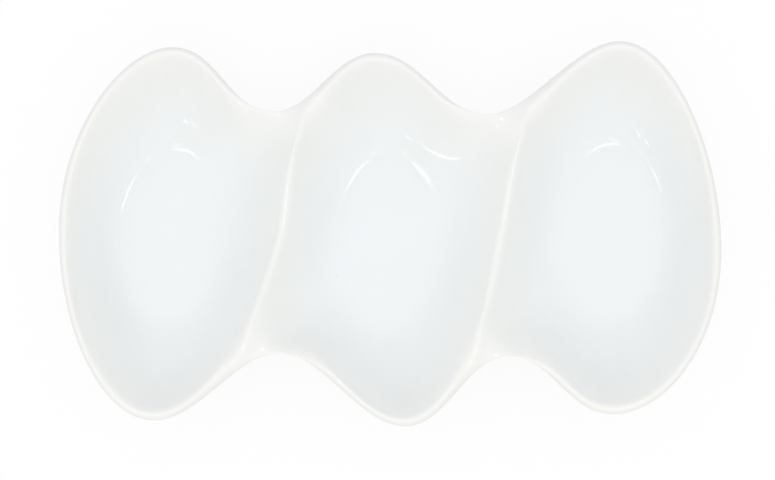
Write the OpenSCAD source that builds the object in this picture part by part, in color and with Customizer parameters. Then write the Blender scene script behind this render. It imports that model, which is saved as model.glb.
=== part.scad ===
// Relish tray: three lens-shaped porcelain bowls in a row, with a wavy rim, two S-shaped divider
// crests and an oval foot ring under each bowl. Units are millimetres, the table is z = 0, +X runs
// along the tray and the tips of the bowls point along +Y and -Y.

/* [Plan] */
// Overall length of the tray, end to end
tray_l = 332; // [318:1:350]
// Distance from an end bowl's centre out to the tray's end
end_w = 53; // [50:1:57]
// Length of each bowl, tip to tip
bowl_l = 188; // [176:1:206]
// Width of the tray across the valleys between two bowls
waist = 121; // [112:1:130]
// How far the top tip of each bowl leans to the right of its centre
tip_lean = [4, -7, 3]; // [-9:0.5:9]
// How far each bowl sits off the tray's long axis
bowl_shift = [-0.5, -3.5, 2.5]; // [-4:0.5:4]
// How far each pair of valleys sits to the right of half-way between its bowls
valley_offset = [-1, -2.5]; // [-4:0.5:4]
// How far the top valley of each pair leans to the right
valley_lean = [-2.5, -5.5]; // [-7:0.5:7]
// How far each pair of valleys sits off the tray's long axis
valley_shift = [0, -1.5]; // [-3:0.5:3]
// How far the outermost point of each end sits off the tray's long axis
end_shift = [2, -7.5]; // [-9:0.5:9]

/* [Edge curve] */
// Curve handle at the two round ends
end_handle = 49; // [42:1:56]
// Curve handle at an end bowl's tip, towards the end
tip_outer_handle = 27; // [22:1:32]
// Curve handle at a tip, towards a valley
tip_inner_handle = 22; // [17:1:26]
// Curve handle at a valley
valley_handle = 21; // [17:1:25]

/* [Divider crests] */
// How far each crest's middle sits to the right of half-way between its bowls
crest_offset = [2, -0.5]; // [-4:0.5:4]
// Slant of a crest at its middle
crest_tilt = 12; // [6:1:16]
// Slant of a crest at its ends
crest_end_tilt = 19; // [14:1:24]
// Curve handle at a crest's middle
crest_mid_handle = 17; // [14:1:20]
// Curve handle at a crest's ends
crest_end_handle = 14; // [10:1:18]
// Where a crest's end faces the edge, as a share of the way from valley to tip
tail_at = 0.25; // [0.22:0.01:0.28]
// How far a crest's end lies in from the edge there, across the tray
tail_in = 18; // [15:0.5:21]
// How far each crest's ends lie back towards the valleys there, along the tray
tail_back = [1, -0.5]; // [-3:0.5:3]
// Width of the slope from crest to edge there
tail_w = 8; // [6.5:0.5:9]

/* [Heights] */
// Height of the rim at the tips, above the table
rim_h = 40; // [36:0.5:46]
// How much lower the rim is at the two ends
end_dip = 1; // [0:0.5:3]
// How much lower the rim is at the valleys
valley_dip = 4; // [2:0.5:6]
// How much lower a crest is where it nears the rim
tail_dip = 1.5; // [0.5:0.5:3]
// How much lower a crest is at its middle
crest_dip = 5; // [3:0.5:8]

/* [Bowls] */
// Length of the flat floor oval
floor_l = 88; // [82:1:94]
// Width of each flat floor oval
floor_w = [48, 50, 53]; // [42:1:56]
// Lean of each floor oval to the right
floor_lean = [6, 3, 6]; // [-9:1:9]
// Shift of each floor oval to the right of its bowl's middle
floor_shift = [-1.5, -2, 1]; // [-4:0.5:4]
// Thickness of the floor
floor_t = 5; // [4:0.5:6]
// Thickness of the walls
wall_t = 4; // [3.2:0.2:5]
// Thickness below the top line of a crest
crest_t = 7; // [6:0.5:8.5]
// Hollow of a short wall: 1 is straight, 2 a parabola
short_hollow = 2.1; // [1.7:0.1:2.5]
// Hollow of a long wall
long_hollow = 2.7; // [2.2:0.1:3.2]

/* [Lip] */
// Distance from the outer edge to the top of the lip
lip_w = 2.8; // [2.2:0.1:3.4]
// Drop from the top of the lip to its outer edge
lip_drop = 2.2; // [1.6:0.1:2.8]
// Height of the outer edge itself
edge_h = 1.2; // [0.8:0.1:1.6]
// Rounding of the inner side of lip and crests
lip_round = 3; // [2.4:0.1:3.6]

/* [Foot rings] */
// Height of the foot rings
foot_h = 2.5; // [2:0.1:3.5]
// Width of the foot rings
foot_w = 4; // [3:0.5:5]
// Distance from the edge of the flat base to a foot ring
foot_inset = 2; // [1:0.5:4]

/* [Hidden] */

glaze = [0.95, 0.95, 0.93];
bare = [0.88, 0.86, 0.82];

// Samples along the edge, from one anchor to the next
end_n = 17;
flank_n = 9;
valley_n = 3;
tail_n = 10;
// Samples across the strip at a crest's end, around its turn to the rim, and along one half of a crest
strip_n = 5;
bend_n = 6;
crest_n = 10;
// Wall lengths up to which a wall counts as short and from which it counts as long
short_wall = 30;
long_wall = 56;
// Stations of a wall section: up the wall, over the lip and back underneath
wall_at = [0.05, 0.12, 0.2, 0.31, 0.43, 0.56, 0.7, 0.85];
lip_at = [0, 0.22, 0.42, 0.6, 0.78, 0.92, 1];
under_at = [1, 0.76, 0.52, 0.26];
// Share of a wall over which the floor's thickness passes into the wall's
thick_from = 0.4;
// Least square-on share of a section that meets the border at a slant
least_square = 0.7;
// Neighbouring crest stations that shape the surface beyond a divider's end
beyond_n = 5;
// Neighbouring sections on each side that even out the spacing around the floor
even_n = 7;
// Distance over which the stations of a top line even one another out
even_d = 3;
// Longest stretch of top line that one station stands for
line_step = 6;
foot_n = 96;

// How quickly a crest draws close to the edge on its way to the tip
tail_power = 3.5;
// Short way along the rim that gives its direction where a crest joins it
tail_step = 0.02;

bowl_pitch = tray_l / 2 - end_w;
floor_z = foot_h + floor_t;
valley_h = rim_h - valley_dip;
tail_h = rim_h - tail_dip;

function mix(a, b, k) = a + (b - a) * k;
function ease(k) = let (c = min(max(k, 0), 1)) c * c * (3 - 2 * c);
function span(p, t) =
    pow(1 - t, 3) * p[0] + 3 * pow(1 - t, 2) * t * p[1] + 3 * (1 - t) * t * t * p[2] + pow(t, 3) * p[3];
function span_dir(p, t) =
    let (d = pow(1 - t, 2) * (p[1] - p[0]) + 2 * (1 - t) * t * (p[2] - p[1]) + t * t * (p[3] - p[2]))
    d / norm(d);

// Anchor points of the plan. side is 1 for the +Y half and -1 for the -Y half.
tip_y = [for (side = [1, -1]) [for (i = [0:2]) side * bowl_l / 2 + bowl_shift[i]]];
mid_y = (max(tip_y[0]) + min(tip_y[1])) / 2;
function centre(i) = [(i - 1) * bowl_pitch, bowl_shift[i] - mid_y];
function floor_mid(i) = centre(i) + [floor_shift[i], 0];
function gap_x(k) = (k - 0.5) * bowl_pitch;
function tip(i, side) = centre(i) + side * [tip_lean[i], bowl_l / 2];
function valley(k, side) =
    [gap_x(k) + valley_offset[k], valley_shift[k] - mid_y] + side * [valley_lean[k], waist / 2];
function tray_end(i, side) = [side * tray_l / 2, end_shift[i] - mid_y];

// The edge, clockwise from the left end: point, direction, handle before, handle after, rim height
edge = [
    [tray_end(0, -1), [0, 1], end_handle, end_handle, rim_h - end_dip],
    [tip(0, 1), [1, 0], tip_outer_handle, tip_inner_handle, rim_h],
    [valley(0, 1), [1, 0], valley_handle, valley_handle, valley_h],
    [tip(1, 1), [1, 0], tip_inner_handle, tip_inner_handle, rim_h],
    [valley(1, 1), [1, 0], valley_handle, valley_handle, valley_h],
    [tip(2, 1), [1, 0], tip_inner_handle, tip_outer_handle, rim_h],
    [tray_end(1, 1), [0, -1], end_handle, end_handle, rim_h - end_dip],
    [tip(2, -1), [-1, 0], tip_outer_handle, tip_inner_handle, rim_h],
    [valley(1, -1), [-1, 0], valley_handle, valley_handle, valley_h],
    [tip(1, -1), [-1, 0], tip_inner_handle, tip_inner_handle, rim_h],
    [valley(0, -1), [-1, 0], valley_handle, valley_handle, valley_h],
    [tip(0, -1), [-1, 0], tip_inner_handle, tip_outer_handle, rim_h],
];
function edge_span(k) =
    let (a = edge[k], b = edge[(k + 1) % len(edge)])
    [a[0], a[0] + a[1] * a[3], b[0] - b[1] * b[2], b[0]];
function edge_z(k, t) = mix(edge[k][4], edge[(k + 1) % len(edge)][4], ease(t)) - lip_drop;

// A station on a bowl's border: [x, y, top z, bottom z, lip's top to border, lip's top z, outward way]
function rim(k, t, way, top) =
    let (
        e = edge_span(k),
        p = span(e, t),
        z = edge_z(k, t),
        d = span_dir(e, t)
    )
    [p.x, p.y, z, z - edge_h, way, top == 0 ? z + lip_drop : top, [-d.y, d.x]];
function rim_run(k, n, t0 = 0, t1 = 1) = [for (i = [0:n - 1]) rim(k, mix(t0, t1, i / n), lip_w, 0)];
// From a crest's end to the tip, the crest runs on along the rim and draws closer to the edge
function tail_way(s) = mix(lip_w, tail_w, pow(1 - s, tail_power));
function tail_top(k, s) =
    let (
        e = edge_span(k),
        t = mix(tail_at, 1, s),
        d = span_dir(e, t)
    )
    span(e, t) - tail_way(s) * [-d.y, d.x];
function tail_run(k) = [
    for (i = [0:tail_n - 1])
        let (s = i / tail_n)
        rim(k, mix(tail_at, 1, s), tail_way(s), mix(tail_h, rim_h, ease(s)))
];
// A divider crest from its +Y end down to its -Y end
function crest_end(k) =
    let (p = span(edge_span(k), tail_at))
    p - sign(p.y) * [tail_back[k == 2 || k == 10 ? 0 : 1], tail_in];
function crest(k) =
    let (
        a = crest_end(k == 0 ? 2 : 4),
        b = crest_end(k == 0 ? 10 : 8),
        m = [gap_x(k) + crest_offset[k], (a.y + b.y) / 2],
        run = [sin(crest_end_tilt), cos(crest_end_tilt)] * crest_end_handle,
        lean = [sin(crest_tilt), cos(crest_tilt)] * crest_mid_handle,
        upper = [a, a - run, m + lean, m],
        lower = [m, m - lean, b + run, b]
    )
    [for (i = [0:2 * crest_n])
        let (
            p = i < crest_n ? span(upper, i / crest_n) : span(lower, i / crest_n - 1),
            z = mix(tail_h, rim_h - crest_dip, ease(1 - abs(i / crest_n - 1)))
        )
        [p.x, p.y, z, z - crest_t, 0, z, [0, 0]]
    ];
function down(run) = [for (i = [0:len(run) - 2]) run[i]];
function up(run) = [for (i = [len(run) - 1:-1:1]) run[i]];
// The turn from the rim back to a crest's end, where the crest swings round to follow the edge
function bend(k) =
    let (
        q = tail_top(k, 0),
        on = tail_top(k, tail_step) - q,
        d = on / norm(on),
        a = crest_end(k),
        h = norm(q - a) / 3,
        way_out = sign(a.y) * [sin(crest_end_tilt), cos(crest_end_tilt)],
        turn = [q, q - d * h, a + way_out * h, a]
    )
    [for (i = [0:bend_n])
        let (p = span(turn, i / bend_n))
        [p.x, p.y, tail_h, tail_h - crest_t, 0, tail_h, [0, 0]]
    ];

// The top line around each bowl: rim, divider crests, and the neighbour's crest beyond a divider's end
function beyond(k) =
    let (t = tail_run(k))
    concat([rim(k, tail_at, lip_w, 0)], [for (i = [beyond_n:-1:1]) t[i]], down(bend(k)));
function top_line(i) =
    i == 0 ? concat(
        tail_run(10), rim_run(11, end_n), rim_run(0, end_n), rim_run(1, flank_n),
        rim_run(2, valley_n, 0, tail_at), beyond(2), down(crest(0)), up(bend(10))
    ) :
    i == 1 ? concat(
        tail_run(2), rim_run(3, flank_n), rim_run(4, valley_n, 0, tail_at),
        beyond(4), down(crest(1)), up(bend(8)),
        tail_run(8), rim_run(9, flank_n), rim_run(10, valley_n, 0, tail_at),
        beyond(10), up(crest(0)), up(bend(2))
    ) : concat(
        tail_run(4), rim_run(5, end_n), rim_run(6, end_n), rim_run(7, flank_n),
        rim_run(8, valley_n, 0, tail_at), beyond(8), up(crest(1)), up(bend(4))
    );
// A bowl's form: its floor's middle and lean, its top line as points, heights and lengths, its floor's width
function form(i) =
    let (
        line = top_line(i),
        n = len(line),
        p = [for (s = line) [s.x, s.y] - s[6] * s[4]]
    )
    [
        floor_mid(i), floor_lean[i], p, [for (s = line) s[5]],
        [for (j = [0:n - 1]) min(norm(p[(j + 1) % n] - p[(j + n - 1) % n]) / 2, line_step)],
        floor_w[i]
    ];

// Point of an oval at an angle; the oval leans to the right
function turn(p, lean) = [p.x * cos(lean) + p.y * sin(lean), p.y * cos(lean) - p.x * sin(lean)];
function oval(w, l, lean, a) = turn([w / 2 * cos(a), l / 2 * sin(a)], lean);

// Height of a bowl's glazed surface: the nearer the top line and the further from the floor, the higher.
// The distance to the top line is a mean over the whole line that strongly favours its nearest stretch.
function glaze_z(b, p) =
    let (
        near = [for (j = [0:len(b[2]) - 1]) let (d = b[2][j] - p) b[4][j] / pow(d * d + even_d * even_d, 2)],
        all = near * [for (j = near) 1],
        d = sqrt(max(pow(2 / PI * all, -2 / 3) - even_d * even_d, 0)),
        below = d < lip_round ? d * d / (2 * lip_round) : d - lip_round / 2,
        v = turn(p - b[0], -b[1]),
        e = norm(v) * max(1 - 1 / norm([2 * v.x / b[5], 2 * v.y / floor_l]), 0),
        k = e / (e + below),
        hollow = mix(short_hollow, long_hollow, ease((e + d - short_wall) / (long_wall - short_wall)))
    )
    mix(floor_z, near * b[3] / all, pow(k, hollow));

// The short strip between the edge (s = 0) and a crest's end (s = 1), on the low side of the crest's turn.
// low is the bowl's form there; line is the turn itself where it lies on the near side of the strip.
function strip(k, s, low, line) =
    let (
        xy = mix(span(edge_span(k), tail_at), crest_end(k), s),
        z = glaze_z(low, xy)
    )
    [
        xy.x, xy.y, z, mix(edge_z(k, tail_at) - edge_h, tail_h - crest_t, s),
        0, line == [] ? z : tail_h, [0, 0], low, line
    ];
function strip_out(k, low) =
    let (turn = bend(k), line = [for (p = turn) [p.x, p.y]])
    concat([turn[bend_n]], [for (i = [strip_n - 1:-1:1]) strip(k, i / strip_n, low, line)]);
function strip_in(k, low) = concat(
    [rim(k, tail_at, lip_w, 0)],
    [for (i = [1:strip_n - 1]) strip(k, i / strip_n, low, [])]
);
// Distance from a point back along a direction to where it crosses a line
function back_to(line, b, out) = max([0, for (i = [0:len(line) - 2])
    let (
        v = line[i] - b,
        u = line[i + 1] - line[i],
        t = -cross(v, out) / cross(u, out)
    )
    if (t >= 0 && t <= 1) -(v + u * t) * out
]);

// The borders of the bowls, clockwise; neighbours share every station of the crest between them
function border(i, forms) =
    i == 0 ? concat(
        tail_run(10), rim_run(11, end_n), rim_run(0, end_n), rim_run(1, flank_n),
        rim_run(2, valley_n, 0, tail_at), strip_in(2, forms[0]), down(crest(0)), strip_out(10, forms[1])
    ) :
    i == 1 ? concat(
        tail_run(2), rim_run(3, flank_n), rim_run(4, valley_n, 0, tail_at),
        strip_in(4, forms[1]), down(crest(1)), strip_out(8, forms[2]),
        tail_run(8), rim_run(9, flank_n), rim_run(10, valley_n, 0, tail_at),
        strip_in(10, forms[1]), up(crest(0)), strip_out(2, forms[0])
    ) : concat(
        tail_run(4), rim_run(5, end_n), rim_run(6, end_n), rim_run(7, flank_n),
        rim_run(8, valley_n, 0, tail_at), strip_in(8, forms[2]), up(crest(1)), strip_out(4, forms[1])
    );

// Wall section from the floor's edge, at an angle of its oval, out to a border station and back underneath
function section(form, s, a) =
    let (
        f = form[0] + oval(form[5], floor_l, form[1], a),
        b = [s.x, s.y],
        wall = norm(b - f),
        out = (b - f) / wall,
        square = s[6] == [0, 0] ? 1 : max(out * s[6], least_square),
        open = len(s) > 7,
        crossed = open && s[8] != [],
        way = crossed ? back_to(s[8], b, out) : s[4] / square,
        top = wall - way,
        inner = lip_round / square,
        run = top - inner,
        z0 = glaze_z(form, f + out * run),
        slope = z0 - glaze_z(form, f + out * (run - 1))
    )
    concat(
        [concat(f, floor_z)],
        [for (k = wall_at) let (p = f + out * run * k) concat(p, glaze_z(form, p))],
        [for (k = lip_at)
            let (
                x = mix(run, wall, k),
                p = f + out * x,
                t = (x - run) / inner,
                over = x - top
            )
            concat(
                p,
                k == 1 ? s[2] :
                open && (over > 0 || !crossed) ? glaze_z(s[7], p) :
                over > 0 ? s[5] - (s[5] - s[2]) * pow(over / way, 2) :
                mix(z0, s[5], ease(t)) + slope * inner * t * pow(1 - t, 2)
            )
        ],
        [concat(b, s[3])],
        [for (k = under_at)
            let (
                p = f + out * run * k,
                z = glaze_z(form, p),
                g = z - glaze_z(form, p - out),
                t = mix(floor_t, wall_t * sqrt(1 + g * g), ease(k / thick_from))
            )
            concat(p, z - t)
        ],
        [concat(f, foot_h)]
    );
// Angles of the sections around a bowl's floor, evened out where the border's stations crowd together
function around(a) = (a + 540) % 360 - 180;
function angles(c, border) =
    let (
        n = len(border),
        a = [for (s = border) atan2((s.y - c.y) / bowl_l, (s.x - c.x) / bowl_pitch)],
        near = [for (k = [-even_n:even_n]) k],
        share = [for (k = near) 1 / len(near)]
    )
    [for (j = [0:n - 1]) a[j] + share * [for (k = near) around(a[(j + k + n) % n] - a[j])]];

module bowl(i) {
    forms = [for (j = [0:2]) form(j)];
    stations = border(i, forms);
    a = angles(centre(i), stations);
    n = len(stations);
    rows = [for (j = [0:n - 1]) section(forms[i], stations[j], a[j])];
    m = len(rows[0]);
    points = [for (r = rows) each r];
    faces = concat(
        [[for (j = [0:n - 1]) j * m], [for (j = [n:-1:1]) j * m - 1]],
        [for (j = [0:n - 1], k = [0:m - 2])
            let (p = j * m + k, q = (j + 1) % n * m + k)
            each norm(points[p] - points[q + 1]) < norm(points[p + 1] - points[q])
                ? [[p, p + 1, q + 1], [p, q + 1, q]]
                : [[p, p + 1, q], [p + 1, q + 1, q]]
        ]
    );
    polyhedron(points = points, faces = faces, convexity = 6);
}

module foot(i) {
    grow = [for (inset = [foot_inset, foot_inset + foot_w]) -2 * inset];
    turns = [for (j = [0:foot_n - 1]) 360 * j / foot_n];
    rings = [for (g = grow)
        [for (a = turns) floor_mid(i) + oval(floor_w[i] + g, floor_l + g, floor_lean[i], a)]
    ];
    linear_extrude(height = foot_h)
        difference() {
            polygon(rings[0]);
            polygon(rings[1]);
        }
}

// Glazed bowl at the left, out to the tray's left end
module left_bowl() {
    color(glaze) bowl(0);
}

// Glazed bowl between the two divider crests
module middle_bowl() {
    color(glaze) bowl(1);
}

// Glazed bowl at the right, out to the tray's right end
module right_bowl() {
    color(glaze) bowl(2);
}

// Bare foot ring under the left bowl
module left_foot() {
    color(bare) foot(0);
}

// Bare foot ring under the middle bowl
module middle_foot() {
    color(bare) foot(1);
}

// Bare foot ring under the right bowl
module right_foot() {
    color(bare) foot(2);
}

left_bowl();
middle_bowl();
right_bowl();
left_foot();
middle_foot();
right_foot();
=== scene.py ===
import math

import bmesh
import bpy
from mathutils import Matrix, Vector


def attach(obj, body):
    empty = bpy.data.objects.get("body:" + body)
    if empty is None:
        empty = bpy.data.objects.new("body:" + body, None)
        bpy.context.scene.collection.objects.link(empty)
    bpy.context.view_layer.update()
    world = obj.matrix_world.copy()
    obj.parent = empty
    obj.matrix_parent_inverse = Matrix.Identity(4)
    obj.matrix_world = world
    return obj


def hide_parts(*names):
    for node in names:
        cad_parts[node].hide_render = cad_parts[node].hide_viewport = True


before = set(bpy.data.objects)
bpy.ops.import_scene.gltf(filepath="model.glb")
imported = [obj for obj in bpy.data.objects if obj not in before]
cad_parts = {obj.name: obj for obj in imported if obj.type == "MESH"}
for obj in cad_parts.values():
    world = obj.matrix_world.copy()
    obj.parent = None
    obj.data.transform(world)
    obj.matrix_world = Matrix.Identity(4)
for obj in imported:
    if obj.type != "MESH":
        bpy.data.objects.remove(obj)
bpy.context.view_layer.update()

# Glazed body: white porcelain cast in one piece, so the bowls run into one another over the divider
# crests without a seam. A clear gloss glaze covers it all round; it draws thin over the rim and the
# crests and gathers in the hollows.
def diagonals(mesh, floor):
    """The edges that split a bowl's patches in two, found ring by ring from the floor to the base."""
    ring = {v: 0 for v in floor.verts}
    front = list(floor.verts)
    while front:
        ahead = {e.other_vert(v): ring[v] + 1
                 for v in front for e in v.link_edges if e.other_vert(v) not in ring}
        ring.update(ahead)
        front = list(ahead)
    found = []
    for k in range(max(ring.values())):
        strip = [f for f in mesh.faces if len(f.verts) == 3 and min(ring[v] for v in f.verts) == k]
        below = {f: sum(ring[v] == k for v in f.verts) for f in strip}
        # Kept in the mesh's own order, so that each run takes the edges in the same turn.
        across = dict.fromkeys(e for f in strip for e in f.edges if ring[e.verts[0]] != ring[e.verts[1]])
        # Two triangles alike on both sides of an edge belong to two patches; every second edge from there
        # on lies inside a patch.
        edge = next(e for e in across if below[e.link_faces[0]] == below[e.link_faces[1]])
        face = edge.link_faces[0]
        for step in range(len(strip)):
            edge = next(e for e in face.edges if e in across and e != edge)
            face = next(f for f in edge.link_faces if f != face)
            if step % 2 == 0:
                found.append(edge)
    return found


bowl_names = ["left_bowl", "middle_bowl", "right_bowl"]
same_point = 0.00001
floor_band = 0.003
body_mesh = bmesh.new()
bowl_of = body_mesh.faces.layers.int.new("bowl")
for number, name in enumerate(bowl_names):
    bowl_mesh = bmesh.new()
    bowl_mesh.from_mesh(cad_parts[name].data)
    bmesh.ops.remove_doubles(bowl_mesh, verts=bowl_mesh.verts, dist=same_point)
    flat = [f for f in bowl_mesh.faces
            if max(v.co.z for v in f.verts) - min(v.co.z for v in f.verts) < same_point]
    floor, = [f for f in bmesh.ops.dissolve_faces(bowl_mesh, faces=flat)["region"] if f.normal.z > 0]
    bmesh.ops.dissolve_edges(bowl_mesh, edges=diagonals(bowl_mesh, floor), use_verts=False)
    # A narrow band inside the floor's edge keeps its middle flat when the body is rounded.
    bmesh.ops.inset_region(bowl_mesh, faces=[floor], thickness=floor_band, use_even_offset=True)
    bowl_data = bpy.data.meshes.new(name)
    bowl_mesh.to_mesh(bowl_data)
    bowl_mesh.free()
    known = len(body_mesh.faces)
    body_mesh.from_mesh(bowl_data)
    bpy.data.meshes.remove(bowl_data)
    body_mesh.faces.ensure_lookup_table()
    for face in body_mesh.faces[known:]:
        face[bowl_of] = number
bmesh.ops.remove_doubles(body_mesh, verts=body_mesh.verts, dist=same_point)

# The casting has no walls inside its crests: faces whose every corner belongs to two bowls go.
seam = {v for v in body_mesh.verts if len({f[bowl_of] for f in v.link_faces}) > 1}
inside = [f for f in body_mesh.faces if all(v in seam for v in f.verts)]
bmesh.ops.delete(body_mesh, geom=inside, context="FACES")

# A crest flows into the rim at both its ends. On one side a broad saddle opens there, and the skin is
# sponged smooth over it; close to the end the folds go on both sides. Only what faces up is touched.
facing_up = 0.5
body_mesh.normal_update()
ends = []
for pair in [{0, 1}, {1, 2}]:
    line = [v for v in body_mesh.verts
            if {f[bowl_of] for f in v.link_faces} == pair and v.normal.z > facing_up]
    ends += [(max(line, key=lambda v: v.co.y).co.copy(), {min(pair)}),
             (min(line, key=lambda v: v.co.y).co.copy(), {max(pair)})]
# Each round: how far from the crest's end it reaches, how often it is wiped, and whether on both sides.
rounds = [(0.034, 10, False), (0.026, 14, False), (0.018, 14, False), (0.013, 12, True)]
for end, saddle in ends:
    for reach, wipes, both_sides in rounds:
        damp = [v for v in body_mesh.verts if v.normal.z > facing_up and (v.co - end).length < reach
                and (both_sides or {f[bowl_of] for f in v.link_faces} == saddle)]
        for wipe in range(wipes):
            bmesh.ops.smooth_vert(body_mesh, verts=damp, factor=0.5,
                                  use_axis_x=True, use_axis_y=True, use_axis_z=True)

# Glaze pulls back from convex edges as it melts: 1 at the sharpest turns of rim and crest, 0 elsewhere.
thin = body_mesh.verts.layers.float.new("thin_glaze")
sharpest = math.radians(30)
for vert in body_mesh.verts:
    turn = max(edge.calc_face_angle_signed(0) for edge in vert.link_edges)
    vert[thin] = min(max(turn / sharpest, 0), 1)
for spread in range(2):
    mean = {v: sum(e.other_vert(v)[thin] for e in v.link_edges) / len(v.link_edges)
            for v in body_mesh.verts}
    for vert in body_mesh.verts:
        vert[thin] = (vert[thin] + mean[vert]) / 2
for face in body_mesh.faces:
    face.smooth = True
body_data = bpy.data.meshes.new("glazed_body")
body_mesh.to_mesh(body_data)
body_mesh.free()
glazed_body = bpy.data.objects.new("glazed_body", body_data)
bpy.context.scene.collection.objects.link(glazed_body)
rounding = glazed_body.modifiers.new("rounding", "SUBSURF")
rounding.levels = 2
rounding.render_levels = 2


def srgb(hex_code):
    """Linear colour of an sRGB hex value."""
    parts = [int(hex_code[i:i + 2], 16) / 255 for i in (1, 3, 5)]
    return (*[c / 12.92 if c <= 0.04045 else ((c + 0.055) / 1.055) ** 2.4 for c in parts], 1)


def add(tree, kind, settings=None, **inputs):
    """One node with its settings; an input is a value, or the output of another node to link.

    An input that has no name of its own is given by its number, as n0, n1 and so on."""
    node = tree.nodes.new(kind)
    for name, value in (settings or {}).items():
        setattr(node, name, value)
    for name, value in inputs.items():
        by_number = name[0] == "n" and name[1:].isdigit()
        socket = node.inputs[int(name[1:]) if by_number else name.replace("_", " ")]
        if isinstance(value, bpy.types.NodeSocket):
            tree.links.new(value, socket)
        else:
            socket.default_value = value
    return node


# Clear-glazed porcelain, dipped and glost-fired: a bright white under a glassy skin. It is a little
# cooler low down on the floors, partly where the glaze lies thick and partly as painted cool light
# from above, and a little creamier where it runs thin over the rim, with the slow ripple of a melted
# glaze and the odd pin-head speck of iron fired into it.
glaze = bpy.data.materials.new("clear_glazed_porcelain")
glaze.use_nodes = True
tree = glaze.node_tree
tree.nodes.clear()
where = add(tree, "ShaderNodeTexCoord")
height = add(tree, "ShaderNodeSeparateXYZ", Vector=where.outputs["Object"])
# Partly painted cool light: the tone turns bluer from 30 mm down to the floors, both for glaze lying thick
# there and for cool light from above.
pooled_and_cool_lit = add(tree, "ShaderNodeMapRange", Value=height.outputs["Z"], From_Min=0.030, From_Max=0.008)
tone = add(tree, "ShaderNodeMix", {"data_type": "RGBA"}, n0=pooled_and_cool_lit.outputs["Result"],
           n6=srgb("#F1F2F0"), n7=srgb("#EFF3F5"))
worn = add(tree, "ShaderNodeAttribute", {"attribute_name": "thin_glaze"})
tone = add(tree, "ShaderNodeMix", {"data_type": "RGBA"}, n0=worn.outputs["Fac"],
           n6=tone.outputs[2], n7=srgb("#F3F2EF"))

# Cloudy firing, in patches about 35 mm across.
cloud = add(tree, "ShaderNodeTexNoise", Vector=where.outputs["Object"], Scale=1 / 0.035, Detail=2.0)
dull = add(tree, "ShaderNodeMapRange", Value=cloud.outputs["Fac"], From_Min=0.4, From_Max=0.7, To_Max=0.35)
tone = add(tree, "ShaderNodeMix", {"data_type": "RGBA"}, n0=dull.outputs["Result"],
           n6=tone.outputs[2], n7=srgb("#EEEFEC"))

# Specks: one cell in thirty of a 9 mm pattern holds a speck, half a millimetre across.
cells = add(tree, "ShaderNodeTexVoronoi", Vector=where.outputs["Object"], Scale=1 / 0.009)
chosen = add(tree, "ShaderNodeSeparateColor", Color=cells.outputs["Color"])
rare = add(tree, "ShaderNodeMath", {"operation": "GREATER_THAN"}, n0=chosen.outputs["Red"], n1=0.97)
dot = add(tree, "ShaderNodeMapRange", Value=cells.outputs["Distance"],
          From_Min=0.035, From_Max=0.02, To_Max=0.35)
speck = add(tree, "ShaderNodeMath", {"operation": "MULTIPLY"}, n0=rare.outputs[0], n1=dot.outputs["Result"])
tone = add(tree, "ShaderNodeMix", {"data_type": "RGBA"}, n0=speck.outputs[0],
           n6=tone.outputs[2], n7=srgb("#8C8478"))

# Glass-smooth where the glaze is thick, a touch softer in the cloudy patches.
polish = add(tree, "ShaderNodeMapRange", Value=cloud.outputs["Fac"], From_Min=0.3, From_Max=0.7,
             To_Min=0.07, To_Max=0.12)

# Ripple of the melt, 14 mm from wave to wave and a few hundredths of a millimetre high.
ripple = add(tree, "ShaderNodeTexNoise", Vector=where.outputs["Object"], Scale=1 / 0.014, Detail=1.0)
relief = add(tree, "ShaderNodeBump", Height=ripple.outputs["Fac"], Strength=0.25, Distance=0.00012)
shader = add(tree, "ShaderNodeBsdfPrincipled", Base_Color=tone.outputs[2], IOR=1.5,
             Roughness=polish.outputs["Result"], Normal=relief.outputs["Normal"])
add(tree, "ShaderNodeOutputMaterial", Surface=shader.outputs["BSDF"])
glazed_body.data.materials.append(glaze)
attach(glazed_body, "root")
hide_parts(*bowl_names)

# Foot rings: low oval rings of the same porcelain under each bowl. The ware stood on them in the kiln,
# so they are wiped clean of glaze, and their foot is ground flat with a softened edge.
bare = bpy.data.materials.new("bare_fired_porcelain")
foot_edge = 0.0006
crisp = math.radians(40)
for side in ["left", "middle", "right"]:
    ring_mesh = bmesh.new()
    ring_mesh.from_mesh(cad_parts[f"{side}_foot"].data)
    bmesh.ops.remove_doubles(ring_mesh, verts=ring_mesh.verts, dist=same_point)
    bottom = [f for f in ring_mesh.faces if all(v.co.z < same_point for v in f.verts)]
    border = [e for e in ring_mesh.edges if sum(f in bottom for f in e.link_faces) == 1]
    bmesh.ops.bevel(ring_mesh, geom=border, offset=foot_edge, affect="EDGES",
                    segments=3, profile=0.5, material=-1)
    for face in ring_mesh.faces:
        face.smooth = True
    for edge in ring_mesh.edges:
        edge.smooth = edge.calc_face_angle(0) < crisp
    ring_data = bpy.data.meshes.new(f"{side}_foot_ring")
    ring_mesh.to_mesh(ring_data)
    ring_mesh.free()
    ring = bpy.data.objects.new(f"{side}_foot_ring", ring_data)
    bpy.context.scene.collection.objects.link(ring)
    ring.data.materials.append(bare)
    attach(ring, "root")
    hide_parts(f"{side}_foot")

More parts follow.
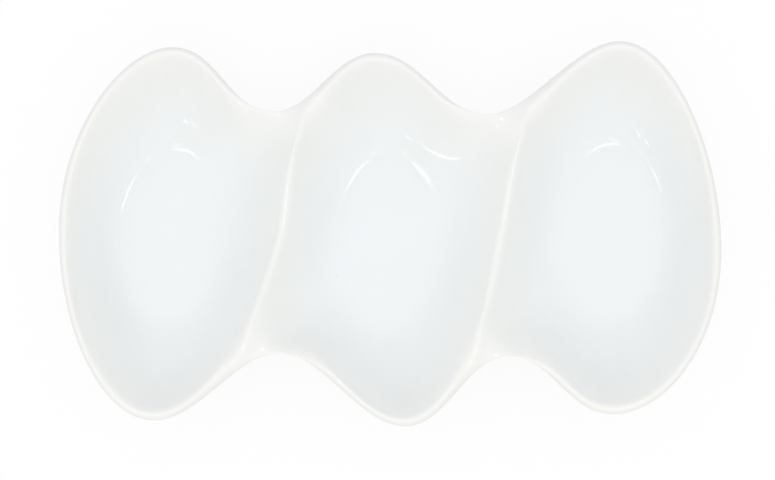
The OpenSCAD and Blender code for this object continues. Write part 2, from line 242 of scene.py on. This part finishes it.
# Bare fired porcelain, wiped and ground: a matt, slightly creamy white with a fine sandy tooth, greyed
# where it stands on tables. The tooth is about 0.1 mm, drawn at 0.5 mm so that it shows.
bare.use_nodes = True
tree = bare.node_tree
tree.nodes.clear()
where = add(tree, "ShaderNodeTexCoord")
grit = add(tree, "ShaderNodeTexNoise", Vector=where.outputs["Object"], Scale=1 / 0.0005, Detail=3.0)
stain = add(tree, "ShaderNodeTexNoise", Vector=where.outputs["Object"], Scale=1 / 0.012, Detail=2.0)
patch = add(tree, "ShaderNodeMapRange", Value=stain.outputs["Fac"], From_Min=0.35, From_Max=0.7)
tone = add(tree, "ShaderNodeMix", {"data_type": "RGBA"}, n0=patch.outputs["Result"],
           n6=srgb("#E8E3DA"), n7=srgb("#DFD8CC"))
height = add(tree, "ShaderNodeSeparateXYZ", Vector=where.outputs["Object"])
ground = add(tree, "ShaderNodeMapRange", Value=height.outputs["Z"],
             From_Min=0.0005, From_Max=0.0001, To_Max=0.6)
tone = add(tree, "ShaderNodeMix", {"data_type": "RGBA"}, n0=ground.outputs["Result"],
           n6=tone.outputs[2], n7=srgb("#C9C1B4"))
rough = add(tree, "ShaderNodeMapRange", Value=grit.outputs["Fac"], To_Min=0.5, To_Max=0.75)
relief = add(tree, "ShaderNodeBump", Height=grit.outputs["Fac"], Strength=0.35, Distance=0.0001)
shader = add(tree, "ShaderNodeBsdfPrincipled", Base_Color=tone.outputs[2], IOR=1.5,
             Roughness=rough.outputs["Result"], Normal=relief.outputs["Normal"])
add(tree, "ShaderNodeOutputMaterial", Surface=shader.outputs["BSDF"])

# Table: a plain white sheet that runs out past the picture. The camera sees it as white paper, with a
# share of its own shade, so that the tray keeps its soft shadow; it throws little light back up.
table_reach = 3
table_mesh = bmesh.new()
bmesh.ops.create_grid(table_mesh, x_segments=1, y_segments=1, size=table_reach)
table_data = bpy.data.meshes.new("table")
table_mesh.to_mesh(table_data)
table_mesh.free()
table = bpy.data.objects.new("table", table_data)
bpy.context.scene.collection.objects.link(table)
paper = bpy.data.materials.new("white_paper")
paper.use_nodes = True
tree = paper.node_tree
tree.nodes.clear()
path = add(tree, "ShaderNodeLightPath")
seen = add(tree, "ShaderNodeMath", {"operation": "MAXIMUM"},
           n0=path.outputs["Is Camera Ray"], n1=path.outputs["Is Glossy Ray"])
seen = add(tree, "ShaderNodeMath", {"operation": "MAXIMUM"},
           n0=seen.outputs[0], n1=path.outputs["Is Transmission Ray"])
share = add(tree, "ShaderNodeMath", {"operation": "MULTIPLY"}, n0=seen.outputs[0], n1=0.9)
shade = add(tree, "ShaderNodeMix", {"data_type": "RGBA"}, n0=seen.outputs[0],
            n6=srgb("#BCBCBC"), n7=srgb("#FAFAFA"))
matt = add(tree, "ShaderNodeBsdfDiffuse", Color=shade.outputs[2])
white = add(tree, "ShaderNodeEmission", Color=(1, 1, 1, 1), Strength=1.0)
both = add(tree, "ShaderNodeMixShader", n0=share.outputs[0], n1=matt.outputs["BSDF"],
           n2=white.outputs["Emission"])
add(tree, "ShaderNodeOutputMaterial", Surface=both.outputs["Shader"])
table.data.materials.append(paper)

# Studio: a white room gives most of the light, a broad warm lamp stands at the front. Small lamps stand
# high on both sides and at the front left for the streaks and glints that the glaze mirrors.
world = bpy.data.worlds.new("white_room")
bpy.context.scene.world = world
world.use_nodes = True
tree = world.node_tree
tree.nodes.clear()
path = add(tree, "ShaderNodeLightPath")
seen = add(tree, "ShaderNodeMath", {"operation": "MAXIMUM"},
           n0=path.outputs["Is Camera Ray"], n1=path.outputs["Is Transmission Ray"])
room = add(tree, "ShaderNodeBackground", Color=srgb("#F6F9FC"), Strength=0.965)
sheet = add(tree, "ShaderNodeBackground", Color=(1, 1, 1, 1), Strength=1.0)
both = add(tree, "ShaderNodeMixShader", n0=seen.outputs[0], n1=room.outputs["Background"],
           n2=sheet.outputs["Background"])
add(tree, "ShaderNodeOutputWorld", Surface=both.outputs["Shader"])


def lamp(name, place, aim, size, watts, colour, mirrored):
    """A rectangular soft light at a place, turned towards a point; mirrored if the glaze reflects it."""
    data = bpy.data.lights.new(name, "AREA")
    data.shape = "RECTANGLE"
    data.size, data.size_y = size
    data.energy = watts
    data.color = srgb(colour)[:3]
    light = bpy.data.objects.new(name, data)
    light.location = place
    light.rotation_euler = (Vector(aim) - Vector(place)).to_track_quat("-Z", "Y").to_euler()
    light.visible_glossy = mirrored
    bpy.context.scene.collection.objects.link(light)


tray = (0, 0, 0.02)
lamp("front", (0, -0.65, 1.13), tray, (0.7, 0.7), 2.0, "#FFEFD2", False)
lamp("right_softbox", (0.66, -0.15, 2.92), tray, (0.26, 0.45), 1.7, "#FFFFFF", True)
lamp("left_softbox", (-0.66, -0.15, 2.92), tray, (0.26, 0.45), 1.7, "#FFFFFF", True)
lamp("right_bulb", (0.5, -0.6, 2.9), tray, (0.1, 0.4), 0.7, "#FFA95C", True)
lamp("left_bulb", (-0.5, -0.6, 2.9), tray, (0.1, 0.4), 0.7, "#FFA95C", True)
lamp("window", (-0.65, -0.93, 1.0), tray, (0.1, 0.1), 0.14, "#FFFFFF", True)
lamp("far_window", (-0.89, -0.86, 0.86), tray, (0.1, 0.1), 0.14, "#FFFFFF", True)

# Camera: nearly straight above the tray, a little to the front, with the framing of the picture. Its
# focal length and the shift of its middle are counted in pixels of the picture's width.
picture_width = 775
focal_length = 1764
sensor = 36
distance = 0.9
tilt = math.radians(85)
camera_data = bpy.data.cameras.new("camera")
camera_data.sensor_width = sensor
camera_data.lens = focal_length / picture_width * sensor
camera_data.shift_x = -2.5 / picture_width
camera_data.shift_y = -5 / picture_width
camera = bpy.data.objects.new("camera", camera_data)
aim = Vector(tray)
camera.location = aim + distance * Vector((0, -math.cos(tilt), math.sin(tilt)))
camera.rotation_euler = (aim - camera.location).to_track_quat("-Z", "Y").to_euler()
bpy.context.scene.collection.objects.link(camera)
bpy.context.scene.camera = camera
bpy.context.scene.view_settings.view_transform = "Standard"
